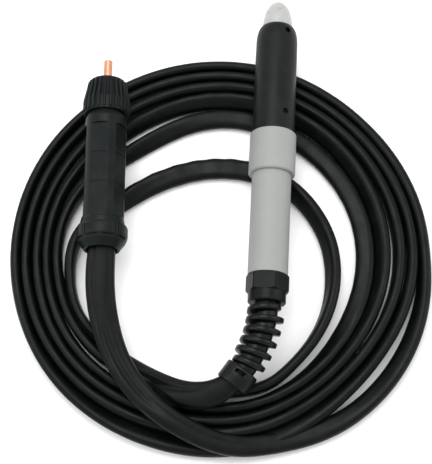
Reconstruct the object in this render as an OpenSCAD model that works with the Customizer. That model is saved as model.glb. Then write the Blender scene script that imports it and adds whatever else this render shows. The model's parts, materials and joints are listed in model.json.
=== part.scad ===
// Straight MIG welding torch, its coiled cable and its central plug.
// Millimetres. The origin lies on the torch axis inside the plain length that
// a holder clamps, +Y runs along the torch towards the wire outlet, +Z is up.

/* [Front barrel] */
// Outside diameter of the front barrel
barrel_d = 43.5; // [38:0.5:50]
// Wall of the front barrel
barrel_wall = 3.75; // [2:0.25:4]
// Plain barrel ahead of the origin
barrel_front = 55; // [46:1:75]
// Plain barrel behind the origin
barrel_rear = 50; // [42:1:70]
// Length of the rounded shoulder
shoulder_len = 18.5; // [16:0.5:26]
// How far the shoulder closes in, on the radius
shoulder_drop = 5.5; // [4:0.25:6]
// Angle of the two screws, from the top towards +X
screw_angle = 30; // [0:5:60]
// Thread diameter of the screws
screw_d = 5.5; // [4:0.5:6]

/* [Nozzle end] */
// Outside diameter of the gas nozzle's seat
nozzle_d = 25; // [22:0.2:26]
// Diameter of the nozzle's mouth
nozzle_mouth_d = 12; // [10:0.5:14]
// How far the nozzle stands out of the barrel
nozzle_out = 23; // [20:0.5:30]
// Wall of the nozzle
nozzle_wall = 2; // [1.5:0.25:2.5]
// Outside diameter of the contact tip
tip_d = 8; // [7:0.5:9]
// Wire bore of the contact tip
tip_bore_d = 1.4; // [1:0.1:2]
// Wall of the push-on cap
cap_wall = 3.2; // [1.6:0.1:3.4]
// Length of the push-on cap
cap_len = 32; // [30:0.5:40]

/* [Collar and handle] */
// Outside diameter of the collar
collar_d = 47.5; // [45:0.5:54]
// Length of the collar
collar_len = 45; // [38:1:60]
// Outside diameter of the handle tube
tube_d = 40; // [36:0.5:42]
// Wall of the handle tube
tube_wall = 2.25; // [1.5:0.25:3]
// Length of the handle tube behind the collar
tube_len = 106.5; // [80:0.5:150]
// Outside diameter of the conductor tube
conductor_d = 16; // [14:0.5:18]
// Bore of the conductor tube
conductor_bore = 9; // [8:0.5:10]

/* [Cable gland] */
// Hexagon of the gland nut, across flats
hex_af = 38; // [36:0.5:42]
// Length of the hexagon
hex_len = 17.5; // [15:0.5:22]
// Turn of the hexagon about the torch axis
hex_turn = -11; // [-30:1:30]
// Diameter of the skirt behind the hexagon
skirt_d = 37.5; // [35:0.5:39]
// Length of the skirt
skirt_len = 11; // [10:0.5:16]

/* [Bend relief] */
// Diameter over the first spiral rib
rib_d_front = 37; // [33:0.5:40]
// Diameter over the last spiral rib
rib_d_rear = 34.5; // [30:0.5:37]
// Turns of the spiral
rib_turns = 6; // [4:1:7]
// Outside diameter of the end collar
relief_collar_d = 34; // [30:0.5:35]
// Length of the end collar
relief_collar_len = 19; // [12:0.5:20]

/* [Cable] */
// Cable diameter
cable_d = 20; // [18:0.5:20]
// Cable diameter where the sheath leaves the plug
cable_plug_d = 29; // [24:0.5:30]
// Outside diameter of the coil
coil_outer_d = 432; // [400:1:450]
// Inside diameter of the tidy part of the coil
coil_inner_d = 282; // [260:1:310]
// Height of the coil
coil_h = 20.5; // [18:0.5:21]

/* [Central plug] */
// Diameter over the plug's handle
handle_d = 42.5; // [40:0.5:46]
// Wall of the handle
handle_wall = 3.5; // [3:0.25:4]
// Length of the handle ahead of the lock ring
handle_len = 121.5; // [110:0.5:150]
// Lengthwise panels around the handle
panels = 5; // [4:1:8]
// Turn of the panels about the plug's axis
panel_turn = -13; // [-36:1:36]
// Diameter over the rear lock ring
ring_d = 51.2; // [49:0.2:51.4]
// Length of the rear lock ring
ring_len = 24; // [20:0.5:30]
// Diameter over the coupling nut
nut_d = 49; // [47:0.5:51]
// Length of the coupling nut
nut_len = 37.5; // [34:0.5:42]
// Grip ribs around the coupling nut
nut_ribs = 24; // [20:1:36]
// Diameter of the brass plug body
plug_body_d = 30.4; // [29:0.2:31]
// Outside diameter of the copper inlet tube
inlet_d = 9; // [7:0.5:10]
// Bore of the copper inlet tube
inlet_bore = 5; // [4:0.25:5]
// How far the inlet tube stands out of the nut
inlet_out = 25; // [15:1:40]
// Diameter of a sprung contact pin
contact_d = 3; // [2.5:0.1:3.5]
// Travel of a sprung contact pin
contact_travel = 3; // [2:0.25:4]

/* [Hidden] */
$fn = 72;

// Fits: a running or sliding piece, and a fixed one that only has to go in
run_gap = 0.05;
seat_gap = 0.05;
face_gap = 0.3;

// Colours
black = [0.09, 0.10, 0.10];
light_grey = [0.66, 0.67, 0.67];
cap_white = [0.86, 0.88, 0.89];
brass = [0.80, 0.66, 0.36];
copper = [0.85, 0.52, 0.38];
steel = [0.66, 0.67, 0.69];
rubber = [0.06, 0.06, 0.06];

// Stations along the torch axis
barrel_r = barrel_d / 2;
barrel_bore_r = barrel_r - barrel_wall;
mouth_y = barrel_front + shoulder_len;
shoulder_y = barrel_front;
collar_front_y = -barrel_rear;
collar_rear_y = collar_front_y - collar_len;
spigot_len = 20;
spigot_y = collar_front_y - spigot_len;
spigot_r = tube_d / 2 - 1;
spigot_bore_r = spigot_r - 2.5;
tube_front_y = spigot_y - 3;
tube_rear_y = collar_rear_y - tube_len;
tube_bore_r = tube_d / 2 - tube_wall;

// Nozzle end
nozzle_r = nozzle_d / 2;
nozzle_bore_r = nozzle_r - nozzle_wall;
holder_len = 24;
holder_r = nozzle_r + 2.4;
holder_y = mouth_y - 3 - holder_len;
nozzle_y0 = mouth_y - 15;
nozzle_y1 = mouth_y + nozzle_out;
nozzle_taper_y = mouth_y + 6.5;
insulator_len = 10;
diffuser_r = nozzle_bore_r - 2.2;
diffuser_y0 = mouth_y - 27;
diffuser_y1 = mouth_y + 3;
diffuser_bore_r = tip_d / 2 - 1;
tip_seat_depth = 8;
tip_y0 = diffuser_y1 - tip_seat_depth;
tip_y1 = nozzle_y1 - 2;
cap_r = nozzle_r + run_gap + cap_wall;
cap_y0 = mouth_y + face_gap;
cap_seat_len = 6;
cap_step_y = cap_y0 + cap_seat_len;
cap_dome_len = cap_len - cap_seat_len;
cap_dome_r = cap_r - 0.3;

// Screws that hold the barrel
front_screw_y = mouth_y - 10;
rear_screw_y = collar_front_y + 19.5;
screw_clear_r = screw_d / 2 + 0.5;
support_len = 16;

// Rear end of the torch
conductor_r = conductor_d / 2;
bush_len = 17;
bush_y0 = tube_rear_y;
bush_thread_r = 13;
gland_bore_r = cable_d / 2 + 0.6;
gland_head_r = 15.5;
gland_head_len = 13;
nut_cavity_r = 14.5;
hex_y0 = tube_rear_y - hex_len;
skirt_y0 = hex_y0 - skirt_len;
ferrule_len = 22;
ferrule_y0 = tube_rear_y + 9;
conductor_y0 = ferrule_y0 + ferrule_len - 8;
hex_corner_r = hex_af / 2 + 2.5;

// Bend relief: an arc that leaves the gland and dips a little
relief_bend_r = 115;
relief_turn = 34.5;
relief_dip = 12.5;
relief_bore_r = cable_d / 2 + 0.5;
relief_core_r = relief_bore_r + 1.8;
rib_first = 2.6;
rib_half_w = 3.1;
rib_slant = 8;

// The surface that the cable lies on, below the torch axis
floor_z = -44;
coil_centre = [-48, -165];
coil_edge = 6;
cable_sides = 10;

// Route of the cable from the gland to the tidy part of the coil
torch_lead_route = [
    [0, -203, 0], [0, -232, 0], [-2, -251, 0], [-7, -270, -2],
    [-15, -288, -4], [-27, -305, -6], [-42, -316, -9], [-61, -320, -12],
    [-84, -315, -18], [-116, -298, -30], [-152, -270, -34],
    [-179, -233, -34], [-193, -193, -34], [-190, -150, -34],
    [-158, -117, -34], [-121, -95, -34], [-90, -81, -34], [-54, -74, -34],
    [-17, -77, -34], [16, -90, -34], [43, -116, -34], [62, -150, -34],
    [68, -186, -34], [64, -221, -34], [50, -255, -34], [26, -285, -34],
    [-1, -307, -34]
];

// Route of the cable from the plug to the outermost turn
plug_lead_route = [
    [-165, -178, 3], [-165, -192, 2], [-165, -210, -1], [-162, -235, -5],
    [-155, -262, -9], [-143, -290, -11], [-122, -319, -11],
    [-98, -339, -12], [-70, -354, -17], [-40, -364, -24], [-8, -364, -31]
];

// The plug's own frame: its axis lies along Y, station 0 at the lock ring
plug_pos = [-166.4, -161, 3];
plug_yaw = 3;
handle_r = handle_d / 2;
handle_bore_r = handle_r - handle_wall;
neck_len = 18;
neck_r = handle_r - 1.6;
ring_r = ring_d / 2;
lip_bore_r = cable_plug_d / 2 + 1.5;
grip_steps = [43.5, 75, 107];
grip_rows = [34, 31.5, 32];
grip_depth = 2.1;
grip_rise = 0.5;
nut_y0 = handle_len + 1;
nut_y1 = nut_y0 + nut_len;
nut_lip = 4.5;
nut_r = nut_d / 2;
nut_thread_r = 17.2;
body_r = plug_body_d / 2;
body_y0 = handle_len - 16;
body_y1 = nut_y0 + 15;
washer_t = 1.2;
washer_y = nut_y0 + nut_lip + run_gap;
circlip_t = 1.4;
circlip_y = washer_y + washer_t + run_gap;
face_t = 4;
face_y1 = body_y1 + face_t;
pin_r = inlet_d / 2 + 1.6;
pin_y1 = nut_y1 - 2;
pin_root = 10;
inlet_seat = 12;
passage_r = inlet_bore / 2 + 0.3;
inlet_y1 = nut_y1 + inlet_out;
contact_r = contact_d / 2;
contact_offset = 10;
contact_out = 6;
contact_body_len = 9;
contact_spring_len = 9;
nipple_r = 2.4;
nipple_out = 8;

// A solid turned about the Y axis from [radius, station] points
module turned(points) {
    rotate([-90, 0, 0]) rotate_extrude() polygon(points);
}

// A plain tube about the Y axis between two stations
module sleeve(r_out, r_in, y0, y1) {
    turned([[r_in, y0], [r_out, y0], [r_out, y1], [r_in, y1]]);
}

// A plain bar along Y between two stations
module bar(r, y0, y1) {
    translate([0, y0, 0]) rotate([-90, 0, 0]) cylinder(r = r, h = y1 - y0);
}

// A ring of round section about the Y axis
module o_ring(r_mid, r_section, y) {
    translate([0, y, 0]) rotate([-90, 0, 0])
        rotate_extrude() translate([r_mid, 0]) circle(r = r_section, $fn = 32);
}

// A rod that points away from the Y axis at an angle from +Z towards +X
module radial_rod(angle, y, r_from, r_to, rod_r) {
    rotate([0, angle, 0]) translate([0, y, r_from])
        cylinder(r = rod_r, h = r_to - r_from, $fn = 32);
}

// Puts the plug's pieces where the plug lies
module at_plug() {
    translate(plug_pos) rotate([0, 0, plug_yaw]) children();
}

// Points of an elliptic arc
function arc(cx, cy, rx, ry, a0, a1, n) =
    [for (i = [0:n]) let (a = a0 + (a1 - a0) * i / n)
        [cx + rx * cos(a), cy + ry * sin(a)]];

function unit(v) = v / norm(v);

// Direction of a route at one of its points
function heading(route, i) =
    unit(route[min(i + 1, len(route) - 1)] - route[max(i - 1, 0)]);

// A ring of points round a centre, square to a direction
function ring_at(c, dir, r, sides) =
    let (side = unit(cross(dir, [0, 0, 1])), up = cross(side, dir))
    [for (k = [0:sides - 1]) let (a = 360 * k / sides)
        c + r * cos(a) * side + r * sin(a) * up];

// Walls and ends of a stack of rings that all have the same number of points
function skin_faces(rings, sides) = concat(
    [[for (k = [0:sides - 1]) k]],
    [for (i = [0:rings - 2], k = [0:sides - 1]) let (n = (k + 1) % sides)
        each [[i * sides + k, (i + 1) * sides + k, (i + 1) * sides + n],
              [i * sides + k, (i + 1) * sides + n, i * sides + n]]],
    [[for (k = [0:sides - 1]) rings * sides - 1 - k]]
);

// A tube swept along a route whose radius runs evenly from r0 to r1
module swept(route, r0, r1, sides) {
    count = len(route);
    points = [for (i = [0:count - 1])
        each ring_at(route[i], heading(route, i),
                     r0 + (r1 - r0) * i / (count - 1), sides)];
    polyhedron(points = points, faces = skin_faces(count, sides), convexity = 8);
}

// ---- Torch, from the wire outlet backwards ----

module protective_cap() {
    dome = arc(0, cap_step_y, cap_dome_r, cap_dome_len, 0, 90, 14);
    inner_r = cap_r - cap_wall;
    inner_dome = arc(0, cap_step_y, inner_r, cap_dome_len - cap_wall, 0, 90, 14);
    color(cap_white) difference() {
        turned(concat([[0, cap_y0], [cap_r, cap_y0],
                       [cap_r, cap_step_y - 0.3]], dome));
        turned(concat([[0, cap_y0 - 1], [inner_r, cap_y0 - 1]], inner_dome));
    }
}

module gas_nozzle() {
    mouth_r = nozzle_mouth_d / 2;
    color(copper) turned([
        [nozzle_bore_r, nozzle_y0], [nozzle_r, nozzle_y0],
        [nozzle_r, nozzle_taper_y], [mouth_r + nozzle_wall, nozzle_y1],
        [mouth_r, nozzle_y1], [nozzle_bore_r, nozzle_taper_y]]);
}

module contact_tip() {
    tip_r = tip_d / 2;
    color(copper) difference() {
        turned([[0, tip_y0], [tip_r - 1, tip_y0], [tip_r - 1, diffuser_y1],
                [tip_r, diffuser_y1], [tip_r, tip_y1 - 5],
                [tip_r - 1.6, tip_y1], [0, tip_y1]]);
        bar(tip_bore_d / 2, tip_y0 - 1, tip_y1 + 1);
    }
}

module gas_diffuser() {
    color(brass) difference() {
        bar(diffuser_r, diffuser_y0, diffuser_y1);
        bar(diffuser_bore_r, diffuser_y0 - 1, diffuser_y1 + 1);
        bar(conductor_r + seat_gap, diffuser_y0 - 1, diffuser_y0 + 8);
        for (a = [0:60:300])
            radial_rod(a, diffuser_y1 - 4 - tip_seat_depth, 0, diffuser_r + 1, 1);
    }
}

module nozzle_insulator() {
    color([0.85, 0.82, 0.74])
        sleeve(nozzle_bore_r - seat_gap, diffuser_r + seat_gap,
               nozzle_y0, nozzle_y0 + insulator_len);
}

module nozzle_holder_ring() {
    color(steel) difference() {
        sleeve(holder_r, nozzle_r + seat_gap, holder_y, holder_y + holder_len);
        radial_rod(screw_angle, front_screw_y, 0, barrel_r, screw_d / 2);
    }
    color(steel)
        sleeve(nozzle_r + seat_gap, diffuser_r + seat_gap,
               holder_y, nozzle_y0 - seat_gap);
}

module front_barrel() {
    curve = arc(barrel_r - shoulder_drop, shoulder_y,
                shoulder_drop, shoulder_len, 0, 90, 10);
    color(black) difference() {
        turned(concat([[0, spigot_y], [spigot_r, spigot_y],
                       [spigot_r, collar_front_y], [barrel_r, collar_front_y]],
                      curve, [[0, mouth_y]]));
        bar(spigot_bore_r, spigot_y - 1, collar_front_y + 3);
        bar(barrel_bore_r, collar_front_y + 3, holder_y);
        bar(holder_r + seat_gap, holder_y - 1, mouth_y - 3 + seat_gap);
        bar(nozzle_r + 0.6, holder_y, mouth_y + 1);
        for (y = [front_screw_y, rear_screw_y])
            radial_rod(screw_angle, y, 0, barrel_r + 1, screw_clear_r);
        for (y = [spigot_y + 5, collar_front_y - 5])
            o_ring(spigot_r, 1, y);
    }
}

module rear_support_ring() {
    color(steel) difference() {
        sleeve(barrel_bore_r - seat_gap, conductor_r + seat_gap,
               rear_screw_y - support_len / 2, rear_screw_y + support_len / 2);
        radial_rod(screw_angle, rear_screw_y, conductor_r + 3, barrel_r,
                   screw_d / 2);
    }
}

// A socket screw whose head end stops short of the barrel's surface
module grub_screw(y, r_from, r_to) {
    difference() {
        radial_rod(screw_angle, y, r_from, r_to, screw_d / 2 - 0.02);
        rotate([0, screw_angle, 0]) translate([0, y, r_to - 2])
            cylinder(d = 2.8, h = 3, $fn = 6);
    }
}

module barrel_screws() {
    color(steel) {
        grub_screw(front_screw_y, nozzle_r + 0.2, barrel_r - 4.2);
        grub_screw(rear_screw_y, conductor_r + 3.2, barrel_r - 2.6);
    }
}

module conductor_tube() {
    color(brass) sleeve(conductor_r, conductor_bore / 2,
                        conductor_y0, diffuser_y0 + 8 - seat_gap);
}

module wire_liner() {
    color(steel) sleeve(diffuser_bore_r - 0.4, tip_bore_d / 2 + 0.4,
                        conductor_y0 - 6, tip_y0 - 0.5);
}

module collar_sleeve() {
    r = collar_d / 2;
    edge = 1.2;
    color(light_grey) turned([
        [tube_d / 2 + seat_gap, collar_rear_y], [r - edge, collar_rear_y],
        [r, collar_rear_y + edge], [r, collar_front_y - edge],
        [r - edge, collar_front_y], [spigot_r + seat_gap, collar_front_y],
        [spigot_r + seat_gap, tube_front_y],
        [tube_d / 2 + seat_gap, tube_front_y]]);
}

module collar_o_rings() {
    color(rubber) for (y = [spigot_y + 5, collar_front_y - 5])
        difference() {
            o_ring(spigot_r - 0.05, 0.9, y);
            sleeve(spigot_r + 3, spigot_r, y - 2, y + 2);
        }
}

module handle_tube() {
    color(light_grey) sleeve(tube_d / 2, tube_bore_r, tube_rear_y, tube_front_y);
}

module handle_end_bush() {
    color(steel) sleeve(tube_bore_r - seat_gap, bush_thread_r,
                        bush_y0, bush_y0 + bush_len);
}

module cable_ferrule() {
    y1 = ferrule_y0 + ferrule_len;
    color(copper) difference() {
        bar(conductor_r + 3, ferrule_y0, y1);
        bar(conductor_r + seat_gap, conductor_y0 - seat_gap, y1 + 1);
        bar(conductor_bore / 2, ferrule_y0 - 1, y1);
        bar(gland_bore_r - 0.5, ferrule_y0 - 1, ferrule_y0 + 1);
    }
}

module gland_body() {
    color(black) difference() {
        union() {
            bar(bush_thread_r - seat_gap, tube_rear_y, tube_rear_y + 8);
            bar(gland_head_r, tube_rear_y - gland_head_len, tube_rear_y);
        }
        bar(gland_bore_r, tube_rear_y - gland_head_len - 1, tube_rear_y + 9);
    }
}

module gland_seal() {
    y1 = tube_rear_y - gland_head_len - seat_gap;
    color(rubber) sleeve(nut_cavity_r - 0.2, cable_d / 2 + 0.1, y1 - 7, y1);
}

module gland_claw() {
    y1 = tube_rear_y - gland_head_len - 7.2;
    color(light_grey) difference() {
        sleeve(nut_cavity_r - 0.2, cable_d / 2 + 0.1, skirt_y0 + 3.2, y1);
        for (a = [0:45:315]) rotate([0, a, 0])
            translate([-0.75, skirt_y0 + 2, cable_d / 2 - 2]) cube([1.5, 4, 8]);
    }
}

module gland_nut() {
    edge = 1.5;
    tip_r = hex_corner_r;
    color(black) difference() {
        union() {
            intersection() {
                translate([0, hex_y0, 0]) rotate([0, hex_turn, 0])
                    rotate([-90, 0, 0])
                    cylinder(d = hex_af / cos(30), h = hex_len, $fn = 6);
                turned([[0, hex_y0], [tip_r - edge, hex_y0],
                        [tip_r, hex_y0 + edge],
                        [tip_r, tube_rear_y - edge],
                        [tip_r - edge, tube_rear_y], [0, tube_rear_y]]);
            }
            turned([[0, skirt_y0], [skirt_d / 2 - 1, skirt_y0],
                    [skirt_d / 2, skirt_y0 + 1], [skirt_d / 2, hex_y0 + 1],
                    [0, hex_y0 + 1]]);
        }
        bar(gland_head_r + seat_gap, tube_rear_y - gland_head_len - 0.02,
            tube_rear_y + 1);
        bar(nut_cavity_r, skirt_y0 + 3, tube_rear_y);
        bar(relief_bore_r, skirt_y0 - 1, tube_rear_y);
    }
}

// Centre line of the bend relief, flat, before it is dipped
function bend_centre(a) =
    [-relief_bend_r * (1 - cos(a)), -relief_bend_r * sin(a), 0];

module relief_core() {
    translate([-relief_bend_r, 0, 0]) rotate([0, 0, -relief_turn - 1])
        rotate_extrude(angle = relief_turn + 1) translate([relief_bend_r, 0])
            difference() {
                circle(r = relief_core_r);
                circle(r = relief_bore_r);
            }
}

// One turn of the spiral rib, taller at the gland than at the end
module relief_rib(k) {
    u = k / (rib_turns - 1);
    outer_r = (rib_d_front + (rib_d_rear - rib_d_front) * u) / 2;
    root_r = relief_core_r - 1;
    a = rib_first + (relief_turn - 2 * rib_first) * u;
    translate(bend_centre(a)) rotate([0, 0, -a - rib_slant])
        turned([[root_r, -rib_half_w], [outer_r - 2.5, -rib_half_w + 0.4],
                [outer_r - 0.6, -1.6], [outer_r, 0], [outer_r - 0.6, 1.6],
                [outer_r - 2.5, rib_half_w - 0.4], [root_r, rib_half_w]]);
}

module relief_end() {
    translate(bend_centre(relief_turn)) rotate([0, 0, -relief_turn])
        difference() {
            turned([[0, -relief_collar_len],
                    [relief_collar_d / 2 - 1.5, -relief_collar_len],
                    [relief_collar_d / 2, -relief_collar_len + 1.5],
                    [relief_collar_d / 2, -1], [relief_collar_d / 2 - 1, 0],
                    [0, 0]]);
            bar(relief_bore_r + 0.4, -relief_collar_len - 1, 1);
            for (x = [-3, 3]) translate([x, -relief_collar_len / 2, 0])
                cylinder(r = 1.8, h = relief_collar_d, $fn = 24);
            translate([-3, -relief_collar_len / 2 - 1.7, 0])
                cube([6, 3.4, relief_collar_d]);
        }
}

module bend_relief() {
    color(black) translate([0, skirt_y0, 0]) rotate([0, -relief_dip, 0]) {
        relief_core();
        for (k = [0:rib_turns - 1]) relief_rib(k);
        relief_end();
    }
}

// ---- Cable ----

module cable_torch_lead() {
    color(rubber) swept(torch_lead_route, cable_d / 2, cable_d / 2, cable_sides);
}

module cable_coil() {
    r0 = coil_inner_d / 2;
    r1 = coil_outer_d / 2;
    e = coil_edge;
    color(rubber) translate([coil_centre[0], coil_centre[1], floor_z])
        rotate_extrude($fn = 180) polygon([
            [r0, e], [r0 + e, 0], [r1 - e, 0], [r1, e],
            [r1, coil_h - e], [r1 - e, coil_h], [r0 + e, coil_h],
            [r0, coil_h - e]]);
}

module cable_plug_lead() {
    color(rubber) swept(plug_lead_route, cable_plug_d / 2, cable_d / 2,
                        cable_sides);
}

// ---- Central plug, from the cable forwards ----

module rear_lock_ring() {
    edge = 2.5;
    slot_count = 9;
    color(black) at_plug() difference() {
        turned([[0, -ring_len], [ring_r - 7.6, -ring_len],
                [ring_r - 6.8, -ring_len + 1.5], [ring_r - 2.4, -ring_len + 7],
                [ring_r - 0.3, -ring_len + 12], [ring_r, -ring_len + 14],
                [ring_r, -edge], [ring_r - 1, 0], [0, 0]]);
        bar(neck_r + seat_gap, -neck_len, 1);
        bar(lip_bore_r, -ring_len - 1, 1);
        for (k = [0:slot_count - 1]) rotate([0, 360 * k / slot_count, 0]) {
            rotate([0, 180 / slot_count, 0]) translate([-6.4, -ring_len + 8, ring_r - 2.6])
                cube([12.8, 2.6, 4]);
            for (x = [-2.1, 1.3]) translate([x, -ring_len + 3, ring_r - 0.7])
                cube([0.8, ring_len - 5, 2]);
        }
    }
}

module plug_cable_clamp() {
    color(light_grey) at_plug()
        sleeve(handle_bore_r - seat_gap, cable_plug_d / 2 + 0.4, -14, -3);
}

module plug_hose_tail() {
    color(rubber) at_plug() bar(cable_d / 2 - 2, -3, 48);
}

module plug_ferrule() {
    color(brass) at_plug() difference() {
        bar(11, 40, body_y0);
        bar(cable_d / 2 - 2 + seat_gap, 39, 48 + seat_gap);
        bar(passage_r, 47, body_y0 + 1);
    }
}

// One grip flat of the handle, deepest where it meets its upper step
module grip_flat(y_step, len) {
    translate([0, y_step, handle_r - grip_depth])
        rotate([-asin(grip_rise / len), 0, 0])
        translate([-12, -len - 1, 0]) cube([24, len + 1, 8]);
}

module plug_handle() {
    color(black) at_plug() difference() {
        turned([[0, -neck_len], [neck_r, -neck_len], [neck_r, 0],
                [handle_r + 0.8, 0], [handle_r + 0.8, 5], [handle_r, 8],
                [handle_r, handle_len - 6], [handle_r - 2, handle_len],
                [0, handle_len]]);
        bar(handle_bore_r, -neck_len - 1, body_y0);
        bar(body_r + seat_gap, body_y0 - 1, handle_len + 1);
        for (k = [0:panels - 1]) rotate([0, panel_turn + 360 * k / panels, 0])
            for (i = [0:len(grip_steps) - 1])
                grip_flat(grip_steps[i], grip_rows[i]);
        for (a = [150, 210])
            radial_rod(a, body_y0 + 6, 0, handle_r + 1, 1.7);
    }
}

module plug_handle_screws() {
    color(steel) at_plug() for (a = [150, 210])
        radial_rod(a, body_y0 + 6, body_r - 4, handle_r - 0.8, 1.6);
}

module plug_body() {
    color(brass) at_plug() difference() {
        bar(body_r, body_y0, body_y1);
        bar(passage_r, body_y0 - 1, body_y1 + 1);
        bar(pin_r, body_y1 - pin_root, body_y1 + 1);
        sleeve(body_r + 1, body_r - 1.6, circlip_y, circlip_y + circlip_t);
        for (x = [-contact_offset, contact_offset]) translate([x, 0, 0])
            bar(contact_r + run_gap,
                body_y1 - contact_body_len - contact_spring_len, body_y1 + 1);
        translate([0, 0, contact_offset]) bar(nipple_r, body_y1 - 6, body_y1 + 1);
        for (a = [150, 210])
            radial_rod(a, body_y0 + 6, body_r - 4.5, body_r + 1, 1.6);
    }
}

module plug_face() {
    color(black) at_plug() difference() {
        bar(body_r - 0.7, body_y1, face_y1);
        bar(pin_r + seat_gap, body_y1 - 1, face_y1 + 1);
        for (x = [-contact_offset, contact_offset]) translate([x, 0, 0])
            bar(contact_r + run_gap, body_y1 - 1, face_y1 + 1);
        translate([0, 0, contact_offset])
            bar(nipple_r + seat_gap, body_y1 - 1, face_y1 + 1);
    }
}

module nut_thrust_washer() {
    color(steel) at_plug()
        sleeve(nut_thread_r - 0.4, body_r + seat_gap, washer_y,
               washer_y + washer_t);
}

module nut_circlip() {
    color(steel) at_plug() difference() {
        sleeve(nut_thread_r - 0.6, body_r - 1.6, circlip_y,
               circlip_y + circlip_t);
        translate([-2, circlip_y - 1, -nut_thread_r - 2])
            cube([4, circlip_t + 2, 8]);
    }
}

module power_pin() {
    color(brass) at_plug() difference() {
        turned([[0, body_y1 - pin_root], [pin_r, body_y1 - pin_root],
                [pin_r, pin_y1 - 1], [pin_r - 1, pin_y1], [0, pin_y1]]);
        bar(passage_r, body_y1 - pin_root - 1, pin_y1 + 1);
        bar(inlet_d / 2 - 0.5, pin_y1 - inlet_seat, pin_y1 + 1);
    }
}

module wire_inlet_tube() {
    y0 = pin_y1 - inlet_seat;
    r = inlet_d / 2;
    color(copper) at_plug() turned([
        [inlet_bore / 2, y0], [r - 0.5, y0], [r - 0.5, pin_y1], [r, pin_y1],
        [r, inlet_y1], [inlet_bore / 2, inlet_y1]]);
}

module gas_nipple() {
    y0 = body_y1 - 6;
    y1 = face_y1 + nipple_out;
    color(brass) at_plug() translate([0, 0, contact_offset]) difference() {
        turned([[0, y0], [nipple_r, y0], [nipple_r, y1 - 4],
                [nipple_r - 0.6, y1 - 4], [nipple_r - 0.6, y1 - 2.4],
                [nipple_r, y1 - 2.4], [nipple_r - 0.5, y1], [0, y1]]);
        bar(1, y0 - 1, y1 + 1);
    }
}

module gas_o_ring() {
    y = face_y1 + nipple_out - 3.2;
    color(rubber) at_plug() translate([0, 0, contact_offset])
        o_ring(nipple_r + 0.15, 0.7, y);
}

module contact_pin(x) {
    y0 = body_y1 - contact_body_len;
    y1 = face_y1 + contact_out;
    color(brass) at_plug() translate([x, 0, 0])
        turned([[0, y0], [contact_r, y0], [contact_r, y1 - 1],
                [contact_r - 0.7, y1], [0, y1]]);
}

module contact_spring(x) {
    y1 = body_y1 - contact_body_len;
    color(steel) at_plug() translate([x, 0, 0])
        sleeve(contact_r - 0.2, contact_r - 0.7, y1 - contact_spring_len, y1);
}

module contact_pin_left() { contact_pin(-contact_offset); }
module contact_pin_right() { contact_pin(contact_offset); }
module contact_spring_left() { contact_spring(-contact_offset); }
module contact_spring_right() { contact_spring(contact_offset); }

module coupling_nut() {
    rib_r = 1.5;
    rib_at = nut_r - rib_r;
    wide_y = nut_y0 + 13;
    top_r = 18.2;
    lean = atan((rib_at - top_r) / (nut_y1 - wide_y));
    lip_r = body_r + 0.08;
    color(black) at_plug() difference() {
        union() {
            turned([[0, nut_y0], [nut_r - 2, nut_y0], [nut_r - 1.6, nut_y0 + 2],
                    [nut_r - 1.6, wide_y], [21, wide_y + 6], [19.4, nut_y1 - 9],
                    [19, nut_y1 - 3], [top_r, nut_y1], [0, nut_y1]]);
            for (k = [0:nut_ribs - 1]) rotate([0, 360 * k / nut_ribs, 0])
                translate([0, wide_y, rib_at]) {
                    bar(rib_r, -11.6, 0.4);
                    rotate([-lean, 0, 0]) bar(rib_r, 0, nut_y1 - wide_y - 1.2);
                }
        }
        bar(lip_r, nut_y0 - 1, nut_y1);
        bar(nut_thread_r, nut_y0 + nut_lip, nut_y1 + 1);
    }
}

protective_cap();
gas_nozzle();
contact_tip();
gas_diffuser();
nozzle_insulator();
nozzle_holder_ring();
front_barrel();
rear_support_ring();
barrel_screws();
conductor_tube();
wire_liner();
collar_sleeve();
collar_o_rings();
handle_tube();
handle_end_bush();
cable_ferrule();
gland_body();
gland_seal();
gland_claw();
gland_nut();
bend_relief();
cable_torch_lead();
cable_coil();
cable_plug_lead();
rear_lock_ring();
plug_cable_clamp();
plug_hose_tail();
plug_ferrule();
plug_handle();
plug_handle_screws();
plug_body();
plug_face();
nut_thrust_washer();
nut_circlip();
power_pin();
wire_inlet_tube();
gas_nipple();
gas_o_ring();
contact_pin_left();
contact_pin_right();
contact_spring_left();
contact_spring_right();
coupling_nut();
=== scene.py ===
# %% [markdown]
# # A straight MIG torch on its own coiled cable
#
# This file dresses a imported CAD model. The CAD holds every hard part at its
# true size: the barrel, the collar, the tube, the gland and the plug. What is
# left to do here is what CAD does badly: a sheathed cable that folds and lies
# in loose turns, the springy spiral that guards it, and the look of each
# plastic and metal. Everything is in metres, and the floor that the cable
# lies on is 44 mm below the torch's axis.

# %% Load the frame
import json
import math

import bmesh
import bpy
import numpy as np
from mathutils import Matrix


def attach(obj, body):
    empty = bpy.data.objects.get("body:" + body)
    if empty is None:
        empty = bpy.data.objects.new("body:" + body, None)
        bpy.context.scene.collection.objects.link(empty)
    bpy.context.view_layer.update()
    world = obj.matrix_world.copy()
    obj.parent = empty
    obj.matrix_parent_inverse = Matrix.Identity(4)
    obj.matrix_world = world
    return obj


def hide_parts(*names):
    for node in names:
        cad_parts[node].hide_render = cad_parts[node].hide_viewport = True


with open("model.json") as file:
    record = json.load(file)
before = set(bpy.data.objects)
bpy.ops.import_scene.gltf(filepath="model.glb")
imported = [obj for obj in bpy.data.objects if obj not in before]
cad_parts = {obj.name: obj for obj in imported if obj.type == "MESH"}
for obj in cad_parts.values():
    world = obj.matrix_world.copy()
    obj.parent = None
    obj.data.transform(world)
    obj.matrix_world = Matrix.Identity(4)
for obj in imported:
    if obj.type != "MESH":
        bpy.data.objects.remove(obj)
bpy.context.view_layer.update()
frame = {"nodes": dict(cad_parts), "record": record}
nodes = frame["nodes"]
print("CAD nodes:", len(nodes))

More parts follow.
